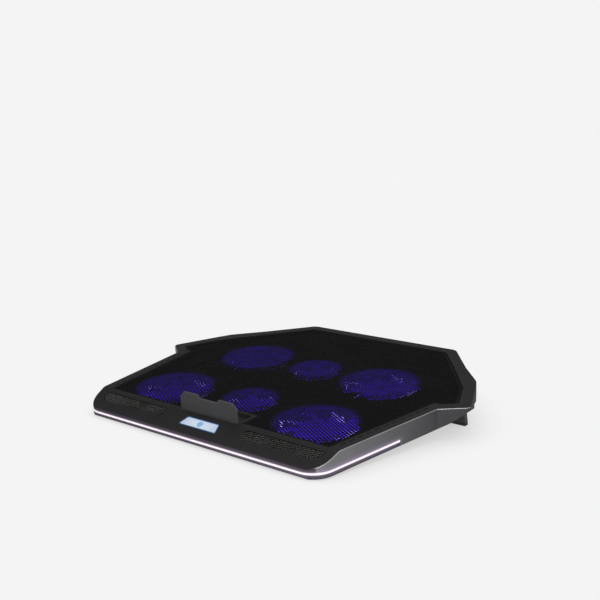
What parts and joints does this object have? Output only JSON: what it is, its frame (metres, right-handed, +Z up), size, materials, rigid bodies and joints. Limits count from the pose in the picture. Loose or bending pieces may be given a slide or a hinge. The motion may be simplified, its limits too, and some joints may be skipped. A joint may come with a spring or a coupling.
{
  "type": "laptop cooling pad",
  "caption": "Laptop cooling pad with fans under a mesh deck, a light strip, a flip-up stopper, a lit control panel and fold-out rear legs.",
  "frame": {"origin": "on the desk under the middle of the pad, as it stands on its open rear legs", "axes": "+X to the user's right along the pad's width, +Y towards the rear edge, +Z up from the desk"},
  "size_m": [0.4368, 0.3535, 0.0501],
  "materials": {
    "cover_plastic": "fine moulded grain, near black",
    "base_plastic": "moulded, near black",
    "mesh_steel": "black powder coat on perforated steel",
    "grille_steel": "black powder coat on perforated steel",
    "strip_diffuser": "milky, lit white from behind",
    "strip_film": "flexible printed board",
    "panel_clear": "lit pale blue from behind",
    "button_clear": "lit blue",
    "switch_black": "moulded",
    "board_green": "solder resist",
    "stopper_plastic": "moulded, dark grey",
    "leg_plastic": "moulded, dark grey",
    "pin_steel": "bright drawn wire",
    "foot_rubber": "matt",
    "socket_steel": "plated sheet",
    "tongue_plastic": "moulded",
    "wire_sleeve": "ribbon of insulated wires",
    "screw_black": "blackened steel",
    "fan_plastic": "glass filled, black",
    "rotor_plastic": "translucent, lit blue violet",
    "light_package": "lit blue violet",
    "bush_bronze": "sintered bronze",
    "coil_copper": "enamelled copper wire"
  },
  "bodies": {
    "pad": {"top_cover": "cover_plastic", "bottom_cover": "base_plastic", "mesh_panel": "mesh_steel", "grille_left": "grille_steel", "grille_right": "grille_steel", "light_strip": "strip_diffuser", "strip_board": "strip_film", "panel_lens": "panel_clear", "tact_switch": "switch_black", "control_board": "board_green", "stopper_pin": "pin_steel", "leg_pins": "pin_steel", "front_feet": "foot_rubber", "rear_feet": "foot_rubber", "usb_board": "board_green", "usb_shells": "socket_steel", "usb_tongues": "tongue_plastic", "wiring": "wire_sleeve", "cover_screws": "screw_black", "fan_screws": "screw_black", "fan_leds": "light_package", "fan_bearings": "bush_bronze", "fan_stators": "coil_copper", "fan_frame_1": "fan_plastic", "fan_frame_2": "fan_plastic", "fan_frame_3": "fan_plastic", "fan_frame_4": "fan_plastic", "fan_frame_5": "fan_plastic", "fan_frame_6": "fan_plastic"},
    "stopper_flap": {"stopper": "stopper_plastic"},
    "left_leg": {"leg_left": "leg_plastic", "leg_foot_left": "foot_rubber"},
    "right_leg": {"leg_right": "leg_plastic", "leg_foot_right": "foot_rubber"},
    "button": {"mode_button": "button_clear"},
    "fan_1_rotor": {"rotor_1": "rotor_plastic"},
    "fan_2_rotor": {"rotor_2": "rotor_plastic"},
    "fan_3_rotor": {"rotor_3": "rotor_plastic"},
    "fan_4_rotor": {"rotor_4": "rotor_plastic"},
    "fan_5_rotor": {"rotor_5": "rotor_plastic"},
    "fan_6_rotor": {"rotor_6": "rotor_plastic"}
  },
  "joints": [
    {"name": "fan_1_spin", "type": "hinge", "parent": "pad", "child": "fan_1_rotor", "pos_m": [-0.103, -0.09709, 0.01568], "axis": [0, -0.0785, 0.9969], "continuous": true},
    {"name": "fan_2_spin", "type": "hinge", "parent": "pad", "child": "fan_2_rotor", "pos_m": [0.103, -0.09709, 0.01568], "axis": [0, -0.0785, 0.9969], "continuous": true},
    {"name": "fan_3_spin", "type": "hinge", "parent": "pad", "child": "fan_3_rotor", "pos_m": [-0.092, 0.0345, 0.02604], "axis": [0, -0.0785, 0.9969], "continuous": true},
    {"name": "fan_4_spin", "type": "hinge", "parent": "pad", "child": "fan_4_rotor", "pos_m": [0.092, 0.0345, 0.02604], "axis": [0, -0.0785, 0.9969], "continuous": true},
    {"name": "fan_5_spin", "type": "hinge", "parent": "pad", "child": "fan_5_rotor", "pos_m": [0, -0.08214, 0.01686], "axis": [0, -0.0785, 0.9969], "continuous": true},
    {"name": "fan_6_spin", "type": "hinge", "parent": "pad", "child": "fan_6_rotor", "pos_m": [0, 0.0345, 0.02604], "axis": [0, -0.0785, 0.9969], "continuous": true},
    {"name": "stopper_fold", "type": "hinge", "parent": "pad", "child": "stopper_flap", "pos_m": [0, -0.14641, 0.02294], "axis": [1, 0, 0], "range_deg": [-90, 0]},
    {"name": "left_leg_fold", "type": "hinge", "parent": "pad", "child": "left_leg", "pos_m": [-0.1715, 0.05173, 0.02389], "axis": [1, 0, 0], "range_deg": [-99.5, 0]},
    {"name": "right_leg_fold", "type": "hinge", "parent": "pad", "child": "right_leg", "pos_m": [0.1715, 0.05173, 0.02389], "axis": [1, 0, 0], "range_deg": [-99.5, 0]},
    {"name": "button_press", "type": "slide", "parent": "pad", "child": "button", "axis": [0, 0.4579, -0.889], "range_m": [0, 0.0006], "stiffness_N_per_m": 400}
  ]
}
